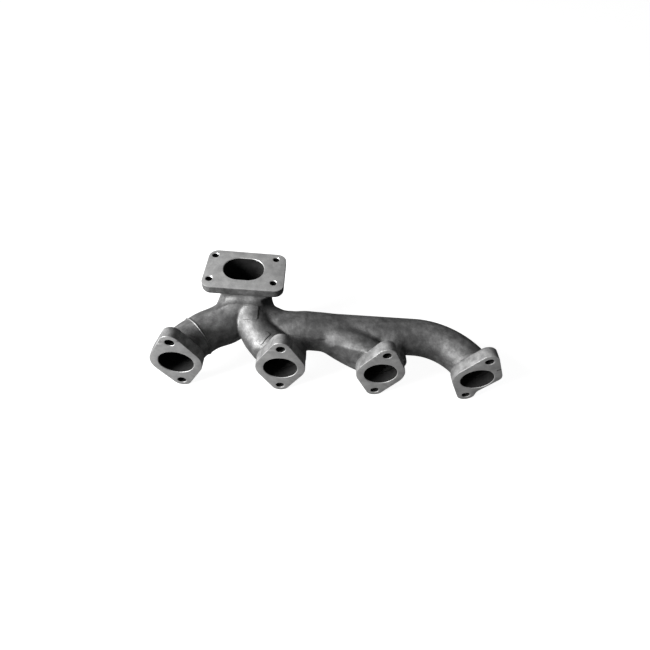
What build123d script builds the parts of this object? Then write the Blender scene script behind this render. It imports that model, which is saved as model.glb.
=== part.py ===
from build123d import *
import math
import os

# Exhaust manifold of a four cylinder engine: four port flanges, four runners, a
# collector log and a neck that rises to a rectangular turbocharger flange.
# Millimetres. Origin: centre of port 1 on the port face plane. +X runs along the
# engine towards port 4, the port faces look along -Y, and +Z is up.

# Driving dimensions: engine side
PORT_PITCH = 130.0
PORT_COUNT = 4
PORT_RADIUS = 21.6
PORT_CHAMFER = 0.6
PORT_FLANGE_THICKNESS = 16.0
PORT_FLANGE_HALF_WIDTH = 31.8
LOBE_RADIUS = 12.0
PORT_BOLT_OFFSET = 40.0
PORT_BOLT_HOLE_RADIUS = 5.5
EDGE_CHAMFER = 0.8
RELIEF_DISTANCE = 25.0
RELIEF_FILLET = 7.0

# Driving dimensions: turbocharger side
TURBO_CENTRE = (70.6, 121.0)
TURBO_FACE_Z = 56.0
TURBO_PLATE_LENGTH = 107.0
TURBO_PLATE_WIDTH = 75.0
TURBO_PLATE_SHIFT = (2.6, -2.2)
TURBO_PLATE_CORNER = 13.0
TURBO_PLATE_THICKNESS = 12.0
TURBO_INLET_LENGTH = 54.5
TURBO_INLET_WIDTH = 43.5
TURBO_INLET_CORNER = 21.0
TURBO_BOLT_SPACING_X = 84.0
TURBO_BOLT_SPACING_Y = 47.5
TURBO_BOLT_HOLE_RADIUS = 4.3

# Driving dimensions: pedestal and neck
PEDESTAL_CENTRE = (77.0, 118.0)
PEDESTAL_LENGTH = 65.0
PEDESTAL_WIDTH = 68.0
PEDESTAL_CORNER = 8.0
PEDESTAL_THICKNESS = 6.0
NECK_X = 75.5
NECK_START_Y = 79.0
NECK_BACK_Y = 118.0
NECK_LOW_Z = 5.0
NECK_BEND_RADIUS = 35.0
NECK_LENGTH = 61.0
NECK_WIDTH = 52.0
NECK_CORNER = 25.5
NECK_PASSAGE_LENGTH = 51.0
NECK_PASSAGE_WIDTH = 43.0
NECK_PASSAGE_CORNER = 20.0

# Driving dimensions: runners and collector log
PASSAGE_RADIUS = 20.5
RUNNER_1_RADIUS = 27.4
RUNNER_2_RADIUS = 25.5
RUNNER_3_RADIUS = 25.7
LOG_RADIUS = 26.2
LOG_Y = 66.0
LOG_END_X = 302.0
LOG_START_X = 132.0
COLLAR_FLARE = 3.5
COLLAR_LENGTH = 9.0
COLLAR_SINK = 0.6
SHOULDER_RADIUS = 30.0
SHOULDER_SPREAD = 2.2
SHOULDER_LENGTH = 23.0
WEB_RADII = {2: 18.5, 3: 20.5}
WEB_OFFSETS = {2: 14.0, 3: 17.5}
WEB_Z = -4.0
WEB_BACK_Y = 60.0

# Small cast details
BEAD_RADIUS = 1.3
BEAD_CENTRE = (18.1, 43.6, 0.0)
BEAD_AXIS = (25.0, 26.0, 1.0)
PAD_RISE = 1.5
PAD_CORNER = 2.0
PAD_DEPTH = 16.0
RUNNER_PAD_SIZE = (20.0, 10.0)
RUNNER_PAD_CENTRE = (106.0, 29.0, 24.0)
RUNNER_PAD_NORMAL = (-0.2, -0.25, 0.93)
RUNNER_PAD_ACROSS = (0.61, 0.79, 0.0)
NECK_PAD_SIZE = (21.0, 21.0)
NECK_PAD_CENTRE = (86.0, 64.0, 31.0)
NECK_PAD_NORMAL = (-0.15, -0.29, 0.94)
NECK_PAD_ACROSS = (1.0, 0.0, 0.16)

# Derived places
PORT_X = [PORT_PITCH * i for i in range(PORT_COUNT)]
FLANGE_BACK_Y = PORT_FLANGE_THICKNESS
TURBO_BACK_Z = TURBO_FACE_Z - TURBO_PLATE_THICKNESS
PEDESTAL_LOW_Z = TURBO_BACK_Z - PEDESTAL_THICKNESS
OVERRUN = 6.0
FAR = 600.0

# Centrelines: corner points of each passage, and the bend radius at each inner one
RUNNER_1_POINTS = [(0, -OVERRUN, 0), (0, 10, 0), (6.5, 31, 0), (30, 56.5, 0), (57, 70, 0), (70, 101, 8)]
RUNNER_1_BENDS = [30, 50, 50, 30]
RUNNER_2_POINTS = [(130, -OVERRUN, 0), (128.5, 16, 0), (101, 49, 2), (88, 70, 8), (80.5, 102, 15)]
RUNNER_2_BENDS = [28, 50, 40]
RUNNER_3_POINTS = [(260, -OVERRUN, 0), (258.5, 16, 0), (190, 64, 0), (160, LOG_Y, 0)]
RUNNER_3_BENDS = [28, 40]
LOG_POINTS = [
    (390, -OVERRUN, 0),
    (389.5, 16, 0),
    (362, LOG_Y, 0),
    (124, LOG_Y - 1, 0),
    (96, 78, 2),
    (80, 104, 12),
]
LOG_BENDS = [27, 78, 45, 40]


def tube(points, bends, radius):
    """Round bar along straight runs joined by tangent arcs."""
    path = FilletPolyline(*points, radius=bends)
    start = Plane(origin=path @ 0, z_dir=path % 0)
    return sweep(start * Circle(radius), path=path)


def elbow(length, width, corner):
    """Bar of rounded rectangular section that turns from +Y to +Z."""
    path = FilletPolyline(
        (NECK_X, NECK_START_Y, NECK_LOW_Z),
        (NECK_X, NECK_BACK_Y, NECK_LOW_Z),
        (NECK_X, NECK_BACK_Y, TURBO_BACK_Z),
        radius=NECK_BEND_RADIUS,
    )
    start = Plane(origin=path @ 0, x_dir=(1, 0, 0), z_dir=(0, 1, 0))
    return sweep(start * RectangleRounded(length, width, corner), path=path)


def slab(low, high):
    """Box between two corners."""
    size = [high[i] - low[i] for i in range(3)]
    middle = [(high[i] + low[i]) / 2 for i in range(3)]
    return Pos(*middle) * Box(*size)


def cut(body, *tools):
    """Body less each tool in turn, keeping the largest solid."""
    for tool in tools:
        body = body - tool
    return max(body.solids(), key=lambda solid: solid.volume)


def along_y(x, z, radius, low, high):
    """Round bar parallel to Y."""
    return Pos(x, (low + high) / 2, z) * Rot(90, 0, 0) * Cylinder(radius, high - low)


def flange_outline(relieved):
    """Hull of a round body and two bolt lobes, with one flank cut back if relieved."""
    flank_angle = math.asin((PORT_FLANGE_HALF_WIDTH - LOBE_RADIUS) / PORT_BOLT_OFFSET)
    with BuildSketch() as outline:
        Circle(PORT_FLANGE_HALF_WIDTH)
        with Locations((0, PORT_BOLT_OFFSET), (0, -PORT_BOLT_OFFSET)):
            Circle(LOBE_RADIUS)
        make_hull()
        if relieved:
            turned = Rot(0, 0, -math.degrees(flank_angle))
            with Locations(turned * Pos(RELIEF_DISTANCE + FAR / 2, 0)):
                Rectangle(FAR, FAR, mode=Mode.SUBTRACT)
            with Locations((0, -PORT_BOLT_OFFSET)):
                Circle(LOBE_RADIUS)
            inner_corner = outline.vertices().sort_by_distance((LOBE_RADIUS, -PORT_BOLT_OFFSET))[0]
            fillet(inner_corner, RELIEF_FILLET)
            outer_corner = outline.vertices().sort_by_distance((PORT_FLANGE_HALF_WIDTH, 0))[0]
            fillet(outer_corner, RELIEF_FILLET)
    return outline.sketch


def port_flange(x, relieved):
    """Diamond plate with its port and two bolt holes."""
    back = Plane(origin=(x, FLANGE_BACK_Y, 0), x_dir=(1, 0, 0), z_dir=(0, -1, 0))
    with BuildPart() as plate:
        add(extrude(back * flange_outline(relieved), PORT_FLANGE_THICKNESS))
        chamfer(plate.faces().filter_by(Axis.Y).edges(), EDGE_CHAMFER)
        with BuildSketch(back):
            Circle(PORT_RADIUS)
            with Locations((0, PORT_BOLT_OFFSET), (0, -PORT_BOLT_OFFSET)):
                Circle(PORT_BOLT_HOLE_RADIUS)
        extrude(amount=PORT_FLANGE_THICKNESS, mode=Mode.SUBTRACT)
        front = plate.faces().filter_by(Axis.Y).sort_by(Axis.Y)[0]
        port_edge = front.inner_wires().sort_by(SortBy.LENGTH)[-1].edges()
        chamfer(port_edge, PORT_CHAMFER)
    return plate.part


def turbo_inlet():
    """Passage that widens from the neck to the inlet in the turbocharger face."""
    neck_end = Pos(NECK_X, NECK_BACK_Y, PEDESTAL_LOW_Z) * RectangleRounded(
        NECK_PASSAGE_LENGTH, NECK_PASSAGE_WIDTH, NECK_PASSAGE_CORNER
    )
    face_end = Pos(*TURBO_CENTRE, TURBO_FACE_Z) * RectangleRounded(
        TURBO_INLET_LENGTH, TURBO_INLET_WIDTH, TURBO_INLET_CORNER
    )
    return loft([neck_end.face(), face_end.face()])


def turbo_flange(inlet):
    """Rectangular plate with the inlet and four bolt holes."""
    centre = [TURBO_CENTRE[i] + TURBO_PLATE_SHIFT[i] for i in range(2)]
    outline = RectangleRounded(TURBO_PLATE_LENGTH, TURBO_PLATE_WIDTH, TURBO_PLATE_CORNER)
    plate = extrude(Pos(*centre, TURBO_BACK_Z) * outline, TURBO_PLATE_THICKNESS)
    plate = chamfer(plate.faces().filter_by(Axis.Z).edges(), EDGE_CHAMFER)
    grid = GridLocations(TURBO_BOLT_SPACING_X, TURBO_BOLT_SPACING_Y, 2, 2)
    holes = [Pos(*TURBO_CENTRE) * place * Cylinder(TURBO_BOLT_HOLE_RADIUS, FAR) for place in grid]
    return cut(plate, inlet, *holes)


def pedestal_block(height):
    """Rounded block that stands on the neck."""
    outline = RectangleRounded(PEDESTAL_LENGTH, PEDESTAL_WIDTH, PEDESTAL_CORNER)
    return extrude(Pos(*PEDESTAL_CENTRE, PEDESTAL_LOW_Z) * outline, height)


def outside_cone(x, radius):
    """Space outside a cone that opens backwards from a port flange."""
    cone = Cone(radius, radius + SHOULDER_SPREAD * SHOULDER_LENGTH, SHOULDER_LENGTH)
    back_y = FLANGE_BACK_Y + SHOULDER_LENGTH
    block = slab((x - FAR, FLANGE_BACK_Y, -FAR), (x + FAR, back_y, FAR))
    return block - Pos(x, (FLANGE_BACK_Y + back_y) / 2, 0) * Rot(-90, 0, 0) * cone


def collar(x, radius):
    """Flared root where a runner meets its port flange."""
    cone = Cone(radius + COLLAR_FLARE, radius - COLLAR_SINK, COLLAR_LENGTH)
    return Pos(x, FLANGE_BACK_Y + COLLAR_LENGTH / 2, 0) * Rot(-90, 0, 0) * cone


def pad(skin, centre, normal, across, size):
    """Blank rectangular pad on the skin, seen along its normal at the centre point."""
    middle = Plane(origin=centre, x_dir=across, z_dir=normal)
    return extrude(middle * RectangleRounded(*size, PAD_CORNER), PAD_DEPTH / 2, both=True) & skin


os.makedirs("parts", exist_ok=True)

# Outer bodies behind the port flanges and below the pedestal
front_space = slab((-FAR, -FAR, -FAR), (FAR, FLANGE_BACK_Y, FAR))
seat = pedestal_block(FAR)
aside = [outside_cone(x, SHOULDER_RADIUS) for x in PORT_X]
outer_1 = cut(tube(RUNNER_1_POINTS, RUNNER_1_BENDS, RUNNER_1_RADIUS), front_space, aside[0], seat)
outer_2 = cut(tube(RUNNER_2_POINTS, RUNNER_2_BENDS, RUNNER_2_RADIUS), front_space, aside[1], seat)
outer_3 = cut(tube(RUNNER_3_POINTS, RUNNER_3_BENDS, RUNNER_3_RADIUS), front_space, aside[2])
outer_log = cut(tube(LOG_POINTS, LOG_BENDS, LOG_RADIUS), front_space, aside[3])
outer_neck = cut(elbow(NECK_LENGTH, NECK_WIDTH, NECK_CORNER), seat)

# Gas passages
mouths = [outside_cone(x, PORT_RADIUS) for x in PORT_X]
cores = [
    cut(tube(LOG_POINTS, LOG_BENDS, PASSAGE_RADIUS), mouths[3]),
    cut(tube(RUNNER_1_POINTS, RUNNER_1_BENDS, PASSAGE_RADIUS), mouths[0]),
    cut(tube(RUNNER_2_POINTS, RUNNER_2_BENDS, PASSAGE_RADIUS), mouths[1]),
    cut(tube(RUNNER_3_POINTS, RUNNER_3_BENDS, PASSAGE_RADIUS), mouths[2]),
    elbow(NECK_PASSAGE_LENGTH, NECK_PASSAGE_WIDTH, NECK_PASSAGE_CORNER),
]

nodes = {}
for number, x in enumerate(PORT_X, start=1):
    nodes[f"port_flange_{number}"] = port_flange(x, relieved=number == PORT_COUNT)

inlet = turbo_inlet()
nodes["turbo_flange"] = turbo_flange(inlet)
nodes["turbo_pedestal"] = cut(pedestal_block(PEDESTAL_THICKNESS), inlet)
nodes["collector_neck"] = cut(outer_neck, *cores)

log_end = slab((LOG_END_X, -FAR, -FAR), (FAR, FAR, FAR))
log_start = slab((-FAR, -FAR, -FAR), (LOG_START_X, FAR, FAR))
nodes["collector_log"] = cut(outer_log, log_end, log_start, *cores)
nodes["collector_branch"] = cut(outer_log & log_start, outer_neck, seat, *cores)
nodes["runner_4"] = cut(outer_log & log_end, *cores)
nodes["runner_3"] = cut(outer_3, outer_log, *cores)
nodes["runner_2"] = cut(outer_2, outer_log, outer_neck, *cores)
nodes["runner_1"] = cut(outer_1, outer_2, outer_neck, outer_log, *cores)

# Flared roots of the runners
outers = [outer_1, outer_2, outer_3, outer_log]
radii = [RUNNER_1_RADIUS, RUNNER_2_RADIUS, RUNNER_3_RADIUS, LOG_RADIUS]
for number in range(1, PORT_COUNT + 1):
    flare = collar(PORT_X[number - 1], radii[number - 1])
    nodes[f"runner_{number}_collar"] = cut(flare, outers[number - 1], *cores)

# Cast webs that fill the corner between a runner, its flange and the log
for number in (2, 3):
    web_x = PORT_X[number - 1] + WEB_OFFSETS[number]
    web = along_y(web_x, WEB_Z, WEB_RADII[number], FLANGE_BACK_Y, WEB_BACK_Y)
    flare = collar(PORT_X[number - 1], radii[number - 1])
    nodes[f"runner_{number}_web"] = cut(web, flare, outers[number - 1], outer_log, *cores)

# Witness bead round runner 1, and two blank casting pads
bead_plane = Plane(origin=BEAD_CENTRE, z_dir=BEAD_AXIS)
nodes["runner_1_bead"] = cut(bead_plane * Torus(RUNNER_1_RADIUS, BEAD_RADIUS), outer_1)
skin = cut(tube(RUNNER_2_POINTS, RUNNER_2_BENDS, RUNNER_2_RADIUS + PAD_RISE), seat)
runner_pad = pad(skin, RUNNER_PAD_CENTRE, RUNNER_PAD_NORMAL, RUNNER_PAD_ACROSS, RUNNER_PAD_SIZE)
nodes["runner_2_pad"] = cut(runner_pad, outer_2)
neck_pad = pad(skin, NECK_PAD_CENTRE, NECK_PAD_NORMAL, NECK_PAD_ACROSS, NECK_PAD_SIZE)
nodes["neck_pad"] = cut(neck_pad, outer_2, outer_1, outer_log, outer_neck)

for name, shape in nodes.items():
    export_step(shape, f"parts/{name}.step")
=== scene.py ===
"""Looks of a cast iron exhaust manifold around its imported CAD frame. Shapes are worked out in
millimetres in the row frame and scaled to metres when a mesh is made."""

import math

import bpy
import numpy as np
from mathutils import Matrix, Vector
from mathutils.geometry import delaunay_2d_cdt

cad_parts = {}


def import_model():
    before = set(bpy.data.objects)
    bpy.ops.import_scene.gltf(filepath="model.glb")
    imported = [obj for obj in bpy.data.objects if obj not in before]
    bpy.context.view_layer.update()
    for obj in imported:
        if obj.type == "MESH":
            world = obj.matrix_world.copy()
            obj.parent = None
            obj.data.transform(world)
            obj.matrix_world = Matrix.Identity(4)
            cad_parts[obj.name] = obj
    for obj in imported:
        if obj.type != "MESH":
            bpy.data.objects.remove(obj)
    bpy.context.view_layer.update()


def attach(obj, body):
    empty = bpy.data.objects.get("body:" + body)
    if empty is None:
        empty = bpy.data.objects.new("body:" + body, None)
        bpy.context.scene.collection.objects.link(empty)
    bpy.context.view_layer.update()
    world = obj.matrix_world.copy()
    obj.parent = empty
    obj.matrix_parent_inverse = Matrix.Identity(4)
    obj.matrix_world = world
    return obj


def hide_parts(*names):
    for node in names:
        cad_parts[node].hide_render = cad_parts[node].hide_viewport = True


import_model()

MM = 0.001

# ---------------------------------------------------------------- driving dimensions (mm)
PORT_PITCH = 130.0
PORT_X = [PORT_PITCH * i for i in range(4)]
PORT_RADIUS = 21.6
PORT_CHAMFER = 0.6
FLANGE_THICKNESS = 16.0
FLANGE_HALF_WIDTH = 31.75
LOBE_RADIUS = 12.0
BOLT_OFFSET = 40.0
BOLT_RADIUS = 5.5
BOLT_CHAMFER = 0.5
RELIEF_DISTANCE = 25.0
RELIEF_FILLET = 7.0
RELIEF_CORNER = 2.5

TURBO_CENTRE = (70.6, 121.0)
TURBO_FACE_Z = 56.0
TURBO_BACK_Z = 44.0
PLATE_SIZE = (107.0, 75.0)
PLATE_SHIFT = (2.6, -2.2)
PLATE_CORNER = 13.0
INLET_SIZE = (54.5, 43.5)
INLET_CORNER = 21.0
INLET_CHAMFER = 0.6
TURBO_BOLTS = (84.0, 47.5)
TURBO_BOLT_RADIUS = 4.3
TURBO_BOLT_CHAMFER = 0.7

PEDESTAL_CENTRE = (77.0, 118.0)
PEDESTAL_SIZE = (65.0, 68.0)
PEDESTAL_CORNER = 8.0
PEDESTAL_LOW_Z = 38.0
PEDESTAL_EDGE = 2.0
NECK_X = 75.5
NECK_START_Y = 79.0
NECK_BEND = (83.0, 40.0, 35.0)
NECK_SECTION = (61.0, 52.0, 25.5)
NECK_PASSAGE = (51.0, 43.0, 20.0)

PASSAGE_RADIUS = 20.5
RUNNER_RADIUS = {"runner_1": 27.4, "runner_2": 25.5, "runner_3": 25.7, "log": 26.2}
# Each centreline is its corner points and the radii of the bends at them. It starts in front of its port.
CENTRELINES = {
    "runner_1": (
        [(0, -6, 0), (0, 10, 0), (6.5, 31, 0), (30, 56.5, 0), (57, 70, 0), (70, 101, 8)],
        [30, 50, 50, 30],
    ),
    "runner_2": (
        [(130, -6, 0), (128.5, 16, 0), (101, 49, 2), (88, 70, 8), (80.5, 102, 15)],
        [28, 50, 40],
    ),
    "runner_3": ([(260, -6, 0), (258.5, 16, 0), (190, 64, 0), (160, 66, 0)], [28, 40]),
    "log": (
        [(390, -6, 0), (389.5, 16, 0), (361, 66, 0), (124, 65, 0), (96, 78, 2), (80, 104, 12)],
        [27, 82, 45, 40],
    ),
}
# Each web is its X, its radius and the runner beside it.
WEBS = {"runner_2_web": (144.0, 18.5, "runner_2"), "runner_3_web": (277.5, 20.5, "runner_3")}
WEB_Z = -4.0
WEB_FRONT_Y = -6.0
WEB_BACK_Y = 60.0
SHOULDER_RADIUS = 30.0
SHOULDER_SPREAD = 2.2
SHOULDER_LENGTH = 14.0
LOG_END_X = 302.0
LOG_START_X = 132.0
COLLAR_END_Y = 25.0
ROOT_INSET = 3.0
ROOT_DEPTH = 1.0
ROOT_RING_Y = 22.0
ROOT_RING_SINK = 1.2
ROOT_RING_RADIUS = 2.6

BEAD_CENTRE = (18.1, 43.6, 0.0)
BEAD_AXIS = (25.0, 26.0, 1.0)
BEAD_RADIUS = 1.1
BEAD_REACH = 33.0
PAD_RISE = 1.0
PAD_SINK = 1.0
PAD_EDGE = 0.7
PAD_CORNER = 2.0
PAD_REACH = 12.0
# Each pad is its centre, the way it faces, the direction of its first side and its two sides.
PADS = {
    "runner_2_pad": ((106.0, 29.0, 24.0), (-0.2, -0.25, 0.93), (0.61, 0.79, 0.0), (19.0, 9.5)),
    "neck_pad": ((86.0, 64.0, 31.0), (-0.15, -0.29, 0.94), (1.0, 0.0, 0.16), (20.0, 20.0)),
}

# Fillets between members
NECK_BLENDS = {"runner_1": 26.0, "runner_2": 8.0, "log": 12.0}
CREASE_BLEND = 2.5
RUNNER_3_BLEND = 5.0
WEB_BLEND = 8.0
PEDESTAL_BLEND = 10.0
ROOT_BLEND = 4.0
ROOT_RING_BLEND = 2.0
ARM_TRIM_BLEND = 1.5
WEB_TRIM_BLEND = 3.0
PASSAGE_BLEND = 3.0
NECK_PASSAGE_BLEND = 4.0
INLET_BLEND = 2.0

# Meshing. ARC_STEP and SHARP_ANGLE are degrees, and the STEPS are points round an outline.
VOXEL = 1.5
FINE_VOXEL = 0.7
CASTING_BOX = ((-34, 8, -34), (424, 158, 50))
BEAD_BOX = ((-10, 12, -32), (48, 74, 32))
PAD_BOX_HALF = (16.0, 16.0, 12.0)
FAR = 90.0
TUBE_REACH = 45.0
ARC_STEP = 5.0
SLOPE_STEP = 0.05
CUT_TOLERANCE = 1e-4
PLATE_OVERLAP = 0.5
SMALL_LOOP = 30
WALL_GAP = 14.0
FLANGE_STEPS = 300
PORT_STEPS = 120
BOLT_STEPS = 64
PLATE_STEPS = 240
INLET_STEPS = 120
TURBO_BOLT_STEPS = 48
SHARP_ANGLE = 28.0

# Floor, light and camera. KEY_SIZE is metres, KEY_POWER watts and CAMERA_ROLL degrees.
FLOOR_Z = -(BOLT_OFFSET + LOBE_RADIUS)
FLOOR_HALF = 6000.0
KEY_PLACE = (-1130, -450, 680)
KEY_TARGET = (195.0, 70.0, 0.0)
KEY_SIZE = 0.8
KEY_POWER = 64
CAMERA_PLACE = (147.88, -275.27, 411.29)
CAMERA_TARGET = (187.12, 77.86, 0.0)
CAMERA_ROLL = 8.546
CAMERA_LENS = 21.21

# ---------------------------------------------------------------- distance fields (mm)
def rounded_path(points, bends):
    """Corner points joined by tangent arcs, as a run of close points."""
    points = [np.array(p, float) for p in points]
    out = [points[0]]
    for before, corner, after, bend in zip(points, points[1:], points[2:], bends):
        u = (before - corner) / np.linalg.norm(before - corner)
        v = (after - corner) / np.linalg.norm(after - corner)
        turn = math.pi - math.acos(np.clip(u @ v, -1, 1))
        start = corner + u * bend * math.tan(turn / 2)
        end = corner + v * bend * math.tan(turn / 2)
        centre = corner + (u + v) / np.linalg.norm(u + v) * bend / math.cos(turn / 2)
        steps = max(3, int(math.degrees(turn) / ARC_STEP) + 2)
        for k in range(steps + 1):
            t = k / steps
            across = math.sin((1 - t) * turn) * (start - centre) + math.sin(t * turn) * (end - centre)
            out.append(centre + across / math.sin(turn))
    out.append(points[-1])
    return np.array(out, np.float32)


def smooth_min(a, b, blend):
    """Union of two fields with a fillet about as wide as blend."""
    h = np.clip(0.5 + 0.5 * (b - a) / blend, 0, 1)
    return b * (1 - h) + a * h - blend * h * (1 - h)


def smooth_max(a, b, blend):
    """Overlap of two fields with a rounded edge about as wide as blend."""
    return -smooth_min(-a, -b, blend)


def tube(points, path, radius):
    """Distance to a round bar along a path, exact near it and large far from it."""
    best = np.full(len(points), FAR, np.float32)
    low, high = points.min(0) - TUBE_REACH, points.max(0) + TUBE_REACH
    for a, b in zip(path, path[1:]):
        if np.any(np.minimum(a, b) > high) or np.any(np.maximum(a, b) < low):
            continue
        along = b - a
        t = np.clip((points - a) @ along / (along @ along), 0, 1)
        off = points - a - t[:, None] * along
        best = np.minimum(best, np.sqrt(np.einsum("ij,ij->i", off, off)) - radius)
    return best


def rounded_box(u, v, width, height, corner):
    """Distance to a rounded rectangle in a plane."""
    qu = np.abs(u) - (width / 2 - corner)
    qv = np.abs(v) - (height / 2 - corner)
    outside = np.hypot(np.maximum(qu, 0), np.maximum(qv, 0))
    return outside + np.minimum(np.maximum(qu, qv), 0) - corner


def diamond(u, v, width, lobe, offset):
    """Distance to the hull of a circle of radius width and two lobes at plus and minus offset."""
    u, v = np.abs(u), np.abs(v)
    lean = (width - lobe) / offset
    rise = math.sqrt(1 - lean * lean)
    k = v * rise - u * lean
    flank = u * rise + v * lean - width
    ends = np.where(k > rise * offset, np.hypot(u, v - offset) - lobe, flank)
    return np.where(k < 0, np.hypot(u, v) - width, ends)


def elbow(points, section):
    """Bar of rounded rectangular section that turns from +Y up to +Z."""
    bend_y, bend_z, radius = NECK_BEND
    y, z = points[:, 1] - bend_y, points[:, 2] - bend_z
    out = np.where(y < 0, -z, np.where(z > 0, y, np.hypot(y, z))) - radius
    return rounded_box(points[:, 0] - NECK_X, out, *section)


PATHS = {name: rounded_path(*line) for name, line in CENTRELINES.items()}
PORT_OF = dict(zip(CENTRELINES, PORT_X))


def shoulder(points, name, radius):
    """Cone that opens backwards from a port flange and holds its runner inside the flange's outline."""
    across = np.hypot(points[:, 0] - PORT_OF[name], points[:, 2])
    behind = points[:, 1] - FLANGE_THICKNESS
    limit = radius + SHOULDER_SPREAD * behind + np.maximum(behind - SHOULDER_LENGTH, 0) ** 2
    return (across - limit) / math.hypot(1, SHOULDER_SPREAD)


def arm(points, name, radius, mouth):
    """Round member along a runner's path, trimmed to a mouth radius at the back of its flange."""
    return smooth_max(tube(points, PATHS[name], radius), shoulder(points, name, mouth), ARM_TRIM_BLEND)


def web(points, x, radius, name):
    """Round bar behind a flange, beside the runner of that name."""
    line = np.array([(x, WEB_FRONT_Y, WEB_Z), (x, WEB_BACK_Y, WEB_Z)], np.float32)
    return smooth_max(tube(points, line, radius), shoulder(points, name, SHOULDER_RADIUS), WEB_TRIM_BLEND)


def pedestal(points):
    """Square block under the turbocharger plate, open upwards."""
    x, y = points[:, 0] - PEDESTAL_CENTRE[0], points[:, 1] - PEDESTAL_CENTRE[1]
    flat = rounded_box(x, y, *PEDESTAL_SIZE, PEDESTAL_CORNER)
    return smooth_max(flat, PEDESTAL_LOW_Z - points[:, 2], PEDESTAL_EDGE)


def members(points):
    """Distance to each named member of the casting."""
    out = {name: arm(points, name, RUNNER_RADIUS[name], SHOULDER_RADIUS) for name in PATHS}
    out.update({name: web(points, *size) for name, size in WEBS.items()})
    out["collector_neck"] = np.maximum(elbow(points, NECK_SECTION), NECK_START_Y - points[:, 1])
    return out


def roots(points):
    """Fillet land on the back of each port flange."""
    best = np.full(len(points), FAR, np.float32)
    width, lobe = FLANGE_HALF_WIDTH - ROOT_INSET, LOBE_RADIUS - ROOT_INSET
    for x in PORT_X:
        flat = diamond(points[:, 0] - x, points[:, 2], width, lobe, BOLT_OFFSET)
        best = np.minimum(best, np.maximum(flat, points[:, 1] - FLANGE_THICKNESS + ROOT_DEPTH))
    return best


def root_rings(points):
    """Raised ring round each runner just behind its flange."""
    best = np.full(len(points), FAR, np.float32)
    for name, path in PATHS.items():
        centre = path[np.argmin(np.abs(path[:, 1] - ROOT_RING_Y))]
        radius = RUNNER_RADIUS[name] - ROOT_RING_SINK
        across = np.hypot(points[:, 0] - centre[0], points[:, 2]) - radius
        best = np.minimum(best, np.hypot(across, points[:, 1] - ROOT_RING_Y) - ROOT_RING_RADIUS)
    return best


def outer_skin(points):
    """Outside of the casting, behind the flanges and below the turbocharger plate."""
    m = members(points)
    m["log"] = smooth_min(m["log"], m["runner_3"], RUNNER_3_BLEND)
    neck = m["collector_neck"]
    skin = smooth_min(neck, m["runner_1"], NECK_BLENDS["runner_1"])
    for name in ("runner_2", "log"):
        skin = smooth_min(skin, smooth_min(neck, m[name], NECK_BLENDS[name]), CREASE_BLEND)
    for name in WEBS:
        skin = smooth_min(skin, m[name], WEB_BLEND)
    skin = smooth_min(skin, pedestal(points), PEDESTAL_BLEND)
    skin = smooth_min(skin, roots(points), ROOT_BLEND)
    return smooth_min(skin, root_rings(points), ROOT_RING_BLEND)


def inlet_section(t):
    """Centre and size of the inlet at a fraction t of the way up to the turbocharger face."""
    x = NECK_X + (TURBO_CENTRE[0] - NECK_X) * t
    y = PEDESTAL_CENTRE[1] + (TURBO_CENTRE[1] - PEDESTAL_CENTRE[1]) * t
    width = NECK_PASSAGE[0] + (INLET_SIZE[0] - NECK_PASSAGE[0]) * t
    height = NECK_PASSAGE[1] + (INLET_SIZE[1] - NECK_PASSAGE[1]) * t
    return x, y, width, height


def inlet(points):
    """Passage that widens from the neck to the turbocharger face."""
    t = np.clip((points[:, 2] - PEDESTAL_LOW_Z) / (TURBO_FACE_Z - PEDESTAL_LOW_Z), 0, 1)
    x, y, width, height = inlet_section(t)
    flat = rounded_box(points[:, 0] - x, points[:, 1] - y, width, height, INLET_CORNER)
    return np.maximum(flat, PEDESTAL_LOW_Z - INLET_BLEND - points[:, 2])


def passages(points):
    """Inside of the casting."""
    best = np.full(len(points), FAR, np.float32)
    for name in PATHS:
        best = smooth_min(best, arm(points, name, PASSAGE_RADIUS, PORT_RADIUS), PASSAGE_BLEND)
    neck = np.maximum(elbow(points, NECK_PASSAGE), NECK_START_Y - points[:, 1])
    best = smooth_min(best, neck, NECK_PASSAGE_BLEND)
    return smooth_min(best, inlet(points), INLET_BLEND)


def casting(points):
    """The iron itself."""
    return np.maximum(outer_skin(points), -passages(points))


# ---------------------------------------------------------------- meshing
def gradient(field, points):
    """Slope of a field along each axis."""
    out = np.empty_like(points)
    for axis in range(3):
        shift = np.zeros(3, np.float32)
        shift[axis] = SLOPE_STEP
        out[:, axis] = (field(points + shift) - field(points - shift)) / (2 * SLOPE_STEP)
    return out


def chunked(field, points, size=120000):
    """A field's values at many points, worked out a part at a time."""
    return np.concatenate([field(points[i:i + size]) for i in range(0, len(points), size)])


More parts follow.
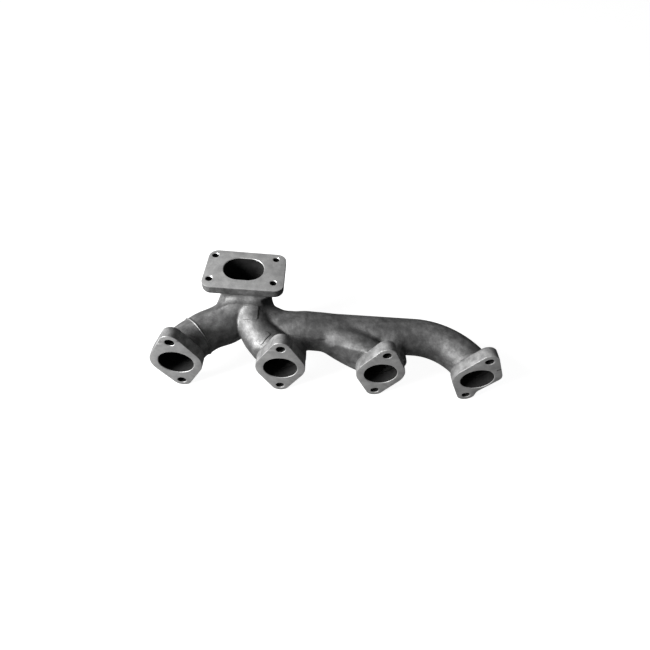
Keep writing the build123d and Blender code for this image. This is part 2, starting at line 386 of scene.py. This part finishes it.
def surface_net(field, low, high, step):
    """Closed quad mesh of the zero surface of a field, with vertices pulled onto it."""
    low, high = np.array(low, np.float32), np.array(high, np.float32)
    count = np.ceil((high - low) / step).astype(int) + 1
    axes = [low[i] + step * np.arange(count[i], dtype=np.float32) for i in range(3)]
    grid = np.stack(np.meshgrid(*axes, indexing="ij"), -1).reshape(-1, 3)
    value = chunked(field, grid).reshape(count)
    inside = value < 0
    hits = sum(
        inside[i:count[0] - 1 + i, j:count[1] - 1 + j, k:count[2] - 1 + k].astype(np.int8)
        for i in (0, 1) for j in (0, 1) for k in (0, 1)
    )
    mixed = (hits > 0) & (hits < 8)
    cells = np.argwhere(mixed)
    index = np.full(mixed.shape, -1, np.int64)
    index[mixed] = np.arange(len(cells))
    total = np.zeros((len(cells), 3))
    crossings = np.zeros(len(cells))
    for axis in range(3):
        others = [a for a in range(3) if a != axis]
        for u in (0, 1):
            for v in (0, 1):
                start = cells.copy()
                start[:, others[0]] += u
                start[:, others[1]] += v
                end = start.copy()
                end[:, axis] += 1
                a, b = value[tuple(start.T)], value[tuple(end.T)]
                crossed = (a < 0) != (b < 0)
                place = start.astype(float)
                place[:, axis] += np.where(crossed, a / np.where(crossed, a - b, 1), 0)
                total[crossed] += place[crossed]
                crossings[crossed] += 1
    verts = (total / crossings[:, None] * step + low).astype(np.float32)
    quads = []
    for axis in range(3):
        j, k = (axis + 1) % 3, (axis + 2) % 3
        ahead = [slice(None)] * 3
        ahead[axis] = slice(1, None)
        behind = [slice(None)] * 3
        behind[axis] = slice(None, -1)
        change = inside[tuple(behind)] != inside[tuple(ahead)]
        at = np.argwhere(change)
        at = at[(at[:, j] > 0) & (at[:, k] > 0) & (at[:, j] < count[j] - 1) & (at[:, k] < count[k] - 1)]
        ring = []
        for dj, dk in ((-1, -1), (0, -1), (0, 0), (-1, 0)):
            cell = at.copy()
            cell[:, j] += dj
            cell[:, k] += dk
            ring.append(index[tuple(cell.T)])
        ring = np.stack(ring, 1)
        ring[~inside[tuple(at.T)]] = ring[~inside[tuple(at.T)]][:, ::-1]
        quads.append(ring)
    quads = np.concatenate(quads)
    for _ in range(2):
        slope = chunked(lambda p: np.c_[field(p), gradient(field, p)], verts)
        length = np.maximum(np.einsum("ij,ij->i", slope[:, 1:], slope[:, 1:]), 0.25)
        move = slope[:, 1:] * (slope[:, 0] / length)[:, None]
        verts = verts - np.clip(move, -step / 2, step / 2).astype(np.float32)
    return verts, quads


def surface_normals(field, verts):
    """Unit outward normals of a field's surface."""
    slope = chunked(lambda p: gradient(field, p), verts)
    return slope / np.maximum(np.linalg.norm(slope, axis=1), 1e-6)[:, None]


def to_triangles(verts, quads):
    """Splits each quad along its shorter diagonal."""
    a = np.linalg.norm(verts[quads[:, 0]] - verts[quads[:, 2]], axis=1)
    b = np.linalg.norm(verts[quads[:, 1]] - verts[quads[:, 3]], axis=1)
    first = np.where((a <= b)[:, None], quads[:, [0, 1, 2]], quads[:, [0, 1, 3]])
    second = np.where((a <= b)[:, None], quads[:, [0, 2, 3]], quads[:, [1, 2, 3]])
    return np.concatenate([first, second])


class Skin:
    """Triangles with a normal and an inside flag at each vertex, which a field's values can cut."""

    def __init__(self, verts, tris, normals, inner):
        self.verts, self.tris, self.normals, self.inner = verts, tris, normals, inner

    def clip(self, value):
        """The part where value is below zero, and the rest."""
        value = np.where(np.abs(value) < CUT_TOLERANCE, CUT_TOLERANCE, value)
        sign = value < 0
        count = sign[self.tris].sum(1)
        keep, drop = self.tris[count == 3], self.tris[count == 0]
        crossing = self.tris[(count == 1) | (count == 2)]
        edges = np.concatenate([crossing[:, [0, 1]], crossing[:, [1, 2]], crossing[:, [2, 0]]])
        edges = np.sort(edges[sign[edges[:, 0]] != sign[edges[:, 1]]], axis=1)
        edges = np.unique(edges, axis=0)
        a, b = edges[:, 0], edges[:, 1]
        t = (value[a] / (value[a] - value[b]))[:, None]
        verts = np.concatenate([self.verts, self.verts[a] * (1 - t) + self.verts[b] * t]).astype(np.float32)
        normals = self.normals[a] * (1 - t) + self.normals[b] * t
        normals /= np.maximum(np.linalg.norm(normals, axis=1), 1e-6)[:, None]
        normals = np.concatenate([self.normals, normals])
        inner = np.concatenate([self.inner, self.inner[a] | self.inner[b]])
        span = len(self.verts)
        key = dict(zip((a * span + b).tolist(), range(span, span + len(edges))))
        low, high = [], []
        for tri in crossing.tolist():
            signs = [sign[i] for i in tri]
            odd = signs.index(True) if sum(signs) == 1 else signs.index(False)
            p, q, r = tri[odd], tri[(odd + 1) % 3], tri[(odd + 2) % 3]
            pq = key[min(p, q) * span + max(p, q)]
            pr = key[min(p, r) * span + max(p, r)]
            tip, rest = [(p, pq, pr)], [(pq, q, r), (pq, r, pr)]
            if sum(signs) == 1:
                low += tip
                high += rest
            else:
                high += tip
                low += rest
        below = np.concatenate([keep, np.array(low, np.int64).reshape(-1, 3)])
        above = np.concatenate([drop, np.array(high, np.int64).reshape(-1, 3)])
        return Skin(verts, below, normals, inner), Skin(verts, above, normals, inner)

    def tidy(self):
        """The same skin without the vertices that it doesn't use."""
        used, tris = np.unique(self.tris, return_inverse=True)
        tris = tris.reshape(-1, 3)
        return Skin(self.verts[used], tris, self.normals[used], self.inner[used])


def boundary_loops(tris):
    """Closed loops of the edges that only one triangle uses, in the triangles' own direction."""
    edges = np.concatenate([tris[:, [0, 1]], tris[:, [1, 2]], tris[:, [2, 0]]])
    forward = set(map(tuple, edges.tolist()))
    follow = {}
    for a, b in forward:
        if (b, a) not in forward:
            follow.setdefault(a, []).append(b)
    loops = []
    while follow:
        start = min(follow)
        loop, at = [], start
        while at in follow:
            loop.append(at)
            nxt = follow[at].pop()
            if not follow[at]:
                del follow[at]
            at = nxt
        loops.append(loop)
    return loops


def zipper(verts, outer, inner):
    """Triangles between two loops that run opposite ways round a hollow section."""
    inner = inner[::-1]
    nearest = np.argmin(np.linalg.norm(verts[inner] - verts[outer[0]], axis=1))
    inner = inner[nearest:] + inner[:nearest]
    outer, inner = outer + outer[:1], inner + inner[:1]
    tris, i, j = [], 0, 0
    while i < len(outer) - 1 or j < len(inner) - 1:
        go_outer = j == len(inner) - 1
        if not go_outer and i < len(outer) - 1:
            a = np.linalg.norm(verts[outer[i + 1]] - verts[inner[j]])
            b = np.linalg.norm(verts[outer[i]] - verts[inner[j + 1]])
            go_outer = a < b
        if go_outer:
            tris.append((outer[i + 1], outer[i], inner[j]))
            i += 1
        else:
            tris.append((outer[i], inner[j], inner[j + 1]))
            j += 1
    return tris


def loop_gap(verts, a, b):
    """How far apart two loops run, as the worse of the two mean distances from one to the other."""
    apart = np.linalg.norm(verts[a][:, None] - verts[b][None], axis=2)
    return max(apart.min(0).mean(), apart.min(1).mean())


def close_section(skin):
    """Vertices, triangles, flags for the soot and painted shade material, and corner normals of a skin with
    its cut ends closed.
    """
    skin = skin.tidy()
    verts, tris = skin.verts, skin.tris
    loops = boundary_loops(tris)
    big = [loop for loop in loops if len(loop) >= SMALL_LOOP]
    inner = [loop for loop in big if skin.inner[loop].mean() >= 0.5]
    outer = [loop for loop in big if skin.inner[loop].mean() < 0.5]
    pairs = [(loop_gap(verts, a, b), i, j) for i, a in enumerate(outer) for j, b in enumerate(inner)]
    caps, used = [], set()
    for gap, i, j in sorted(pairs):
        if gap < WALL_GAP and not used & {("outer", i), ("inner", j)}:
            caps += zipper(verts, outer[i], inner[j])
            used |= {("outer", i), ("inner", j)}
    for loop in loops:
        if len(loop) < SMALL_LOOP:
            caps += [(loop[0], loop[k + 1], loop[k]) for k in range(1, len(loop) - 1)]
    corner_normals = skin.normals[tris]
    soot_and_shade = skin.inner[tris].sum(1) >= 2
    if caps:
        caps = np.array(caps)
        flat = np.cross(verts[caps[:, 1]] - verts[caps[:, 0]], verts[caps[:, 2]] - verts[caps[:, 0]])
        flat /= np.maximum(np.linalg.norm(flat, axis=1), 1e-9)[:, None]
        tris = np.concatenate([tris, caps])
        corner_normals = np.concatenate([corner_normals, np.repeat(flat[:, None], 3, 1)])
        soot_and_shade = np.concatenate([soot_and_shade, np.ones(len(caps), bool)])
    return verts, tris, soot_and_shade, corner_normals


def make_piece(name, verts, faces, slots, material_index, normals=None):
    """A mesh object in metres from points in millimetres, riding on the one body."""
    mesh = bpy.data.meshes.new(name)
    mesh.from_pydata((np.asarray(verts, float) * MM).tolist(), [], [list(map(int, f)) for f in faces])
    for material in slots:
        mesh.materials.append(material)
    mesh.polygons.foreach_set("material_index", np.asarray(material_index, np.int32))
    mesh.update()
    if normals is not None:
        mesh.normals_split_custom_set(np.asarray(normals, float).reshape(-1, 3).tolist())
    piece = bpy.data.objects.new(name, mesh)
    bpy.context.scene.collection.objects.link(piece)
    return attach(piece, "root")


# ---------------------------------------------------------------- materials
class Nodes:
    """Short way to add and link the shader nodes of one material."""

    def __init__(self, name):
        self.material = bpy.data.materials.new(name)
        self.material.use_nodes = True
        self.tree = self.material.node_tree
        self.shader = self.tree.nodes["Principled BSDF"]
        self.place = self.add("ShaderNodeTexCoord").outputs["Object"]

    def add(self, kind, **values):
        node = self.tree.nodes.new(kind)
        for key, value in values.items():
            setattr(node, key, value)
        return node

    def link(self, a, b):
        self.tree.links.new(a, b)

    def noise(self, size, detail=3.0, roughness=0.55):
        """Noise with features about size millimetres across."""
        node = self.add("ShaderNodeTexNoise")
        node.inputs["Scale"].default_value = 1.0 / (size * MM)
        node.inputs["Detail"].default_value = detail
        node.inputs["Roughness"].default_value = roughness
        self.link(self.place, node.inputs["Vector"])
        return node.outputs["Fac"]

    def ramp(self, value, stops):
        """Colour ramp of (position, shade) stops, where a shade is a grey or an RGB colour."""
        node = self.add("ShaderNodeValToRGB")
        while len(node.color_ramp.elements) < len(stops):
            node.color_ramp.elements.new(0.5)
        for element, (position, shade) in zip(node.color_ramp.elements, stops):
            element.position = position
            element.color = (*([shade] * 3 if isinstance(shade, float) else shade), 1)
        self.link(value, node.inputs["Fac"])
        return node.outputs["Color"]

    def multiply(self, a, b):
        """One colour times another."""
        node = self.add("ShaderNodeMix", data_type="RGBA", blend_type="MULTIPLY")
        node.inputs["Factor"].default_value = 1.0
        self.link(a, node.inputs[6])
        self.link(b, node.inputs[7])
        return node.outputs[2]

    def bump(self, height, depth, before=None):
        """Bump of depth millimetres."""
        node = self.add("ShaderNodeBump")
        node.inputs["Distance"].default_value = depth * MM
        self.link(height, node.inputs["Height"])
        if before:
            self.link(before, node.inputs["Normal"])
        return node.outputs["Normal"]


def cast_iron(name, dark, light):
    """Satin as-cast iron in broad patches from dark to light, with mottling and a sand grain."""
    n = Nodes(name)
    broad = n.ramp(n.noise(38, 3), [(0.32, dark), (0.68, light)])
    blotch = n.ramp(n.noise(9, 4, 0.6), [(0.35, 0.55), (0.7, 1.0)])
    grain = n.ramp(n.noise(1.6, 3, 0.6), [(0.3, 0.75), (0.7, 1.0)])
    n.link(n.multiply(n.multiply(broad, blotch), grain), n.shader.inputs["Base Color"])
    n.link(n.ramp(n.noise(12, 4), [(0.3, 0.54), (0.7, 0.68)]), n.shader.inputs["Roughness"])
    n.shader.inputs["Metallic"].default_value = 0.8
    coarse = n.bump(n.noise(7, 4, 0.6), 0.5)
    n.link(n.bump(n.noise(1.5, 4, 0.65), 0.16, coarse), n.shader.inputs["Normal"])
    return n.material


def machined_iron():
    """Pale machined iron with faint stains and a fine grain."""
    n = Nodes("machined_iron_face")
    stain = n.ramp(n.noise(14, 4, 0.6), [(0.3, (0.44, 0.44, 0.44)), (0.7, (0.66, 0.66, 0.655))])
    grain = n.ramp(n.noise(1.2, 3, 0.6), [(0.3, 0.8), (0.7, 1.0)])
    n.link(n.multiply(stain, grain), n.shader.inputs["Base Color"])
    n.link(n.ramp(n.noise(10, 4), [(0.3, 0.38), (0.7, 0.5)]), n.shader.inputs["Roughness"])
    n.shader.inputs["Metallic"].default_value = 0.65
    n.link(n.bump(n.noise(0.9, 3, 0.6), 0.03), n.shader.inputs["Normal"])
    return n.material


def soot_and_shade():
    """Dull black sooty inside of the gas passages, made near black as painted shade deep in the holes."""
    n = Nodes("sooty_passage_painted_shade")
    n.link(n.ramp(n.noise(10, 4), [(0.3, 0.004), (0.7, 0.013)]), n.shader.inputs["Base Color"])
    n.shader.inputs["Roughness"].default_value = 0.85
    n.shader.inputs["Specular IOR Level"].default_value = 0.2
    n.link(n.bump(n.noise(2.5, 4), 0.25), n.shader.inputs["Normal"])
    return n.material


CAST = cast_iron("cast_iron_skin", 0.18, 0.35)
# Paler copy of the cast iron for the port flanges' sides and backs: painted light on the flanks.
SIDE_PAINTED_LIGHT = cast_iron("cast_iron_flange_side_painted_light", 0.36, 0.62)
MACHINED, SOOT_AND_SHADE = machined_iron(), soot_and_shade()

# ---------------------------------------------------------------- casting, cut into its sections
def build_skin():
    """The whole casting's surface. A vertex is inner where it is on a passage."""
    verts, quads = surface_net(casting, *CASTING_BOX, VOXEL)
    inner = chunked(lambda p: -passages(p) > outer_skin(p), verts)
    return Skin(verts, to_triangles(verts, quads), surface_normals(casting, verts), inner)


def split_skin(skin):
    """Named sections of the skin, cut at planes and at the creases between members."""
    skin = skin.clip(FLANGE_THICKNESS - PLATE_OVERLAP - skin.verts[:, 1])[0]
    skin = skin.clip(skin.verts[:, 2] - TURBO_BACK_Z - PLATE_OVERLAP)[0]
    parts = {}
    parts["turbo_pedestal"], skin = skin.clip(PEDESTAL_LOW_Z - skin.verts[:, 2])
    low, skin = skin.clip(skin.verts[:, 1] - COLLAR_END_Y)
    for i, x in enumerate(PORT_X):
        edge = x + PORT_PITCH / 2
        parts[f"runner_{i + 1}_collar"], low = low.clip(low.verts[:, 0] - edge)
    owners = [*PATHS, "collector_neck"]
    for name in ("collector_neck", "log", "runner_3"):
        m = members(skin.verts)
        rest = np.min([m[k] for k in owners if k != name], axis=0)
        parts[name], skin = skin.clip(m[name] - rest)
    m = members(skin.verts)
    parts["runner_1"], parts["runner_2"] = skin.clip(m["runner_1"] - m["runner_2"])
    log = parts.pop("log")
    parts["runner_4"], log = log.clip(LOG_END_X - log.verts[:, 0])
    parts["collector_branch"], parts["collector_log"] = log.clip(log.verts[:, 0] - LOG_START_X)
    return parts


# A web is part of the casting piece of the runner beside it.
ALSO_REPLACES = {"runner_2": ["runner_2_web"], "runner_3": ["runner_3_web"]}

for node, part in split_skin(build_skin()).items():
    verts, tris, sooty_painted_shade, normals = close_section(part)
    # Passage walls take the near-black material: soot, darkened to near black as painted shade.
    piece = make_piece(f"{node}_casting", verts, tris, [CAST, SOOT_AND_SHADE], sooty_painted_shade, normals)
    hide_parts(node, *ALSO_REPLACES.get(node, []))


# ---------------------------------------------------------------- bead and blank pads
def unit(vector):
    """The vector at length 1."""
    return np.array(vector, np.float32) / np.linalg.norm(vector)


def bead(points):
    """Thin raised line round runner 1."""
    off = points - np.array(BEAD_CENTRE, np.float32)
    line = np.hypot(off @ unit(BEAD_AXIS), outer_skin(points)) - BEAD_RADIUS
    return np.maximum(line, np.linalg.norm(off, axis=1) - BEAD_REACH)


def pad(name):
    """Field of a flat-edged pad that stands proud of the skin."""
    centre, normal, across, size = PADS[name]
    normal = unit(normal)
    across = unit(across - normal * (normal @ np.array(across)))
    upward = np.cross(normal, across)

    def field(points):
        off = points - np.array(centre, np.float32)
        side = rounded_box(off @ across, off @ upward, *size, PAD_CORNER)
        skin = outer_skin(points)
        top = smooth_max(side, skin - PAD_RISE, PAD_EDGE)
        return np.maximum(np.maximum(top, -PAD_SINK - skin), np.abs(off @ normal) - PAD_REACH)

    return field


def raised(node, field, low, high):
    """A small raised piece of the casting, meshed finely."""
    verts, quads = surface_net(field, low, high, FINE_VOXEL)
    tris = to_triangles(verts, quads)
    normals = surface_normals(field, verts)
    piece = make_piece(f"{node}_raised", verts, tris, [CAST], np.zeros(len(tris)), normals[tris])
    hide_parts(node)


raised("runner_1_bead", bead, *BEAD_BOX)
for pad_node, (pad_centre, *_) in PADS.items():
    pad_low, pad_high = np.array(pad_centre) - PAD_BOX_HALF, np.array(pad_centre) + PAD_BOX_HALF
    raised(pad_node, pad(pad_node), pad_low, pad_high)


# ---------------------------------------------------------------- flange plates
def port_outline(points, relieved):
    """Field of a port flange's outline about its port centre."""
    u, v = points.T
    field = diamond(u, v, FLANGE_HALF_WIDTH, LOBE_RADIUS, BOLT_OFFSET)
    if not relieved:
        return field
    lean = (FLANGE_HALF_WIDTH - LOBE_RADIUS) / BOLT_OFFSET
    flank = u * math.sqrt(1 - lean * lean) - v * lean - RELIEF_DISTANCE
    lobe = np.hypot(u, v + BOLT_OFFSET) - LOBE_RADIUS
    return np.maximum(field, smooth_min(smooth_max(field, flank, RELIEF_CORNER), lobe, RELIEF_FILLET))


RAYS = 2400
RAY_LENGTH = 120.0
HALVINGS = 40


def trace(field, count):
    """Evenly spaced points on the outline of a shape round the origin, and outward normals."""
    turn = np.linspace(0, 2 * math.pi, RAYS, endpoint=False)
    ray = np.stack([np.cos(turn), np.sin(turn)], 1)
    low, high = np.zeros(len(turn)), np.full(len(turn), RAY_LENGTH)
    for _ in range(HALVINGS):
        mid = (low + high) / 2
        inside = field(ray * mid[:, None]) < 0
        low, high = np.where(inside, mid, low), np.where(inside, high, mid)
    points = ray * low[:, None]
    closed = np.concatenate([points, points[:1]])
    run = np.concatenate([[0], np.cumsum(np.linalg.norm(np.diff(closed, axis=0), axis=1))])
    at = np.linspace(0, run[-1], count, endpoint=False)
    points = np.stack([np.interp(at, run, closed[:, i]) for i in range(2)], 1)
    slope = [(field(points + d) - field(points - d)) / (2 * SLOPE_STEP) for d in np.eye(2) * SLOPE_STEP]
    slope = np.stack(slope, 1)
    return points, slope / np.linalg.norm(slope, axis=1)[:, None]


def circle(centre, radius, count):
    """Evenly spaced points on a circle, and outward normals."""
    turn = np.linspace(0, 2 * math.pi, count, endpoint=False)
    normal = np.stack([np.cos(turn), np.sin(turn)], 1)
    return np.array(centre) + radius * normal, normal


def in_polygon(point, loop):
    """Whether a point is inside a closed loop, by the even-odd rule."""
    a, b = loop, np.roll(loop, -1, axis=0)
    spans = (a[:, 1] > point[1]) != (b[:, 1] > point[1])
    a, b = a[spans], b[spans]
    at = a[:, 0] + (point[1] - a[:, 1]) * (b[:, 0] - a[:, 0]) / (b[:, 1] - a[:, 1])
    return np.count_nonzero(at > point[0]) % 2 == 1


def flat_face(loops):
    """Triangles that fill the first loop less the others, as indices into all of their points."""
    points = np.concatenate(loops)
    edges, start = [], 0
    for loop in loops:
        n = len(loop)
        edges += [(start + i, start + (i + 1) % n) for i in range(n)]
        start += n
    result = delaunay_2d_cdt([Vector(p) for p in points.tolist()], edges, [], 0, 1e-5)
    back = [origin[0] for origin in result[3]]
    tris = [[back[i] for i in tri] for tri in result[2]]
    kept = []
    for tri in tris:
        middle = points[tri].mean(0)
        if not in_polygon(middle, loops[0]) or any(in_polygon(middle, hole) for hole in loops[1:]):
            continue
        a, b, c = points[tri]
        turn = (b[0] - a[0]) * (c[1] - a[1]) - (b[1] - a[1]) * (c[0] - a[0])
        kept.append(tri if turn > 0 else tri[::-1])
    return kept


# Section of a plate's edge: how far in from the outline at each distance from the front and from the back.
FRONT_EDGE = [(0.8, 0.0), (0.3, 0.12), (0.0, 0.6)]
BACK_EDGE = [(0.0, 2.4), (0.25, 1.3), (0.9, 0.45), (2.0, 0.0)]
# Slot 2 is the near-black hole wall: painted shade in the bolt holes, soot and painted shade in the
# passages.
CAST_SIDE, CUT_FACE, SOOTY_PAINTED_SHADE = 0, 1, 2


def plate(name, node, outline, holes, thickness, place, side):
    """A flange plate. The outline is (points, normals); each hole is a function of depth that gives
    (points, normals), with its own chamfer and the material of its wall. place maps (u, v, depth)."""
    verts, faces, mats = [], [], []
    front, back = [], []

    def ring(points, depth):
        """Adds a loop of vertices at a depth."""
        start = len(verts)
        verts.extend([(*p, depth) for p in points.tolist()])
        return list(range(start, start + len(points)))

    def join(a, b, material, flip):
        """Adds a band of quads between two loops."""
        n = len(a)
        for i in range(n):
            j = (i + 1) % n
            face = (a[i], b[i], b[j], a[j])
            faces.append(face if flip else face[::-1])
            mats.append(material)

    points, normals = outline
    profile = FRONT_EDGE + [(inset, thickness - up) for inset, up in BACK_EDGE]
    rings = [ring(points - normals * inset, depth) for inset, depth in profile]
    for k in range(len(rings) - 1):
        join(rings[k], rings[k + 1], CUT_FACE if k == 0 else CAST_SIDE, True)
    front.append(rings[0])
    back.append(rings[-1])
    for at_depth, chamfer, wall in holes:
        stops = [(chamfer, 0.0), (0.0, chamfer), (0.0, thickness / 2), (0.0, thickness)]
        rings = []
        for widen, depth in stops:
            hole_points, hole_normals = at_depth(depth)
            rings.append(ring(hole_points + hole_normals * widen, depth))
        for k in range(len(rings) - 1):
            join(rings[k], rings[k + 1], CUT_FACE if k == 0 else wall, False)
        front.append(rings[0])
        back.append(rings[-1])
    flat, ringed = np.array(verts), len(faces)
    for loops, flip, material in ((front, False, CUT_FACE), (back, True, CAST_SIDE)):
        ids = [i for loop in loops for i in loop]
        for tri in flat_face([flat[loop][:, :2] for loop in loops]):
            tri = [ids[i] for i in tri]
            faces.append(tri[::-1] if flip else tri)
            mats.append(material)
    placed = np.array([place(*v) for v in verts])
    piece = make_piece(name, placed, faces, [side, MACHINED, SOOT_AND_SHADE], mats)
    mesh = piece.data
    mesh.polygons.foreach_set("use_smooth", [i < ringed for i in range(len(faces))])
    mesh.set_sharp_from_angle(angle=math.radians(SHARP_ANGLE))
    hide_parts(node)


def round_hole(centre, radius, count):
    """A drilled hole for plate()."""
    return lambda depth: circle(centre, radius, count)


PLATE_CENTRE = np.array(TURBO_CENTRE) + np.array(PLATE_SHIFT)


def inlet_hole(depth):
    """The inlet's outline at a depth below the turbocharger face, about the plate's centre."""
    x, y, *size = inlet_section(1 - depth / (TURBO_FACE_Z - PEDESTAL_LOW_Z))
    points, normals = trace(lambda p: rounded_box(p[:, 0], p[:, 1], *size, INLET_CORNER), INLET_STEPS)
    return points + (x, y) - PLATE_CENTRE, normals


for number, port_x in enumerate(PORT_X, start=1):
    relieved = number == len(PORT_X)
    plate(
        f"port_flange_{number}_plate",
        f"port_flange_{number}",
        trace(lambda p: port_outline(p, relieved), FLANGE_STEPS),
        [
            # Hole walls are near black: painted shade, with soot in the port as well.
            (round_hole((0, 0), PORT_RADIUS, PORT_STEPS), PORT_CHAMFER, SOOTY_PAINTED_SHADE),
            (round_hole((0, BOLT_OFFSET), BOLT_RADIUS, BOLT_STEPS), BOLT_CHAMFER, SOOTY_PAINTED_SHADE),
            (round_hole((0, -BOLT_OFFSET), BOLT_RADIUS, BOLT_STEPS), BOLT_CHAMFER, SOOTY_PAINTED_SHADE),
        ],
        FLANGE_THICKNESS,
        lambda u, v, depth, x=port_x: (x + u, depth, v),
        # Paler cast iron on the flange sides: painted light.
        SIDE_PAINTED_LIGHT,
    )

# The inlet and bolt hole walls are near black: painted shade, with soot in the inlet as well.
turbo_holes = [(inlet_hole, INLET_CHAMFER, SOOTY_PAINTED_SHADE)]
for side_x in (1, -1):
    for side_y in (1, -1):
        away = (side_x * TURBO_BOLTS[0] / 2, side_y * TURBO_BOLTS[1] / 2)
        bolt = round_hole(np.array(TURBO_CENTRE) - PLATE_CENTRE + away, TURBO_BOLT_RADIUS, TURBO_BOLT_STEPS)
        turbo_holes.append((bolt, TURBO_BOLT_CHAMFER, SOOTY_PAINTED_SHADE))
plate(
    "turbo_flange_plate",
    "turbo_flange",
    trace(lambda p: rounded_box(p[:, 0], p[:, 1], *PLATE_SIZE, PLATE_CORNER), PLATE_STEPS),
    turbo_holes,
    TURBO_FACE_Z - TURBO_BACK_Z,
    lambda u, v, depth: (PLATE_CENTRE[0] + u, PLATE_CENTRE[1] + v, TURBO_FACE_Z - depth),
    CAST,
)

# ---------------------------------------------------------------- floor, light and camera
def floor():
    """Pale floor that the flanges' lower ends stand on."""
    mesh = bpy.data.meshes.new("floor")
    half = FLOOR_HALF * MM
    corners = [(-half, -half, 0), (half, -half, 0), (half, half, 0), (-half, half, 0)]
    mesh.from_pydata(corners, [], [(0, 1, 2, 3)])
    n = Nodes("pale_floor")
    n.shader.inputs["Base Color"].default_value = (0.3, 0.3, 0.3, 1)
    n.shader.inputs["Roughness"].default_value = 0.9
    n.shader.inputs["Emission Color"].default_value = (1, 1, 1, 1)
    n.shader.inputs["Emission Strength"].default_value = 0.93
    mesh.materials.append(n.material)
    obj = bpy.data.objects.new("floor", mesh)
    obj.location.z = FLOOR_Z * MM
    obj.visible_diffuse = False
    obj.visible_glossy = False
    bpy.context.scene.collection.objects.link(obj)


def area_light(name, place, size, power):
    """Soft round light of a size in metres at a place in millimetres, aimed at the object's middle."""
    data = bpy.data.lights.new(name, "AREA")
    data.shape = "DISK"
    data.size = size
    data.energy = power
    light = bpy.data.objects.new(name, data)
    centre = Vector(KEY_TARGET) * MM
    light.location = Vector(place) * MM
    light.rotation_mode = "QUATERNION"
    light.rotation_quaternion = (centre - light.location).to_track_quat("-Z", "Y")
    bpy.context.scene.collection.objects.link(light)


def world():
    """White to the camera; for everything else bright on the left and dim on the right."""
    scene_world = bpy.data.worlds.new("studio")
    bpy.context.scene.world = scene_world
    scene_world.use_nodes = True
    tree = scene_world.node_tree
    tree.nodes.clear()
    out = tree.nodes.new("ShaderNodeOutputWorld")
    place = tree.nodes.new("ShaderNodeTexCoord")
    split = tree.nodes.new("ShaderNodeSeparateXYZ")
    spread = tree.nodes.new("ShaderNodeMapRange")
    spread.inputs["From Min"].default_value = 0.5
    spread.inputs["From Max"].default_value = -0.8
    spread.inputs["To Min"].default_value = 0.05
    spread.inputs["To Max"].default_value = 0.37
    around = tree.nodes.new("ShaderNodeBackground")
    seen = tree.nodes.new("ShaderNodeBackground")
    seen.inputs["Color"].default_value = (1, 1, 1, 1)
    seen.inputs["Strength"].default_value = 1.0
    path = tree.nodes.new("ShaderNodeLightPath")
    pick = tree.nodes.new("ShaderNodeMixShader")
    link = tree.links.new
    link(place.outputs["Generated"], split.inputs[0])
    link(split.outputs["X"], spread.inputs["Value"])
    link(spread.outputs[0], around.inputs["Color"])
    link(path.outputs["Is Camera Ray"], pick.inputs["Fac"])
    link(around.outputs[0], pick.inputs[1])
    link(seen.outputs[0], pick.inputs[2])
    link(pick.outputs[0], out.inputs["Surface"])


def camera():
    """The photograph's viewpoint: in front of the port faces and above, aimed down, a little rolled."""
    data = bpy.data.cameras.new("camera")
    data.sensor_width = 36.0
    data.lens = CAMERA_LENS
    data.clip_start = 0.01
    data.clip_end = 30.0
    eye = bpy.data.objects.new("camera", data)
    place = Vector(CAMERA_PLACE) * MM
    aim = (Vector(CAMERA_TARGET) * MM - place).to_track_quat("-Z", "Y").to_matrix()
    turn = aim @ Matrix.Rotation(math.radians(CAMERA_ROLL), 3, "Z")
    eye.matrix_world = Matrix.Translation(place) @ turn.to_4x4()
    bpy.context.scene.collection.objects.link(eye)
    bpy.context.scene.camera = eye


floor()
world()
area_light("key", KEY_PLACE, KEY_SIZE, KEY_POWER)
camera()
bpy.context.scene.view_settings.view_transform = "Standard"
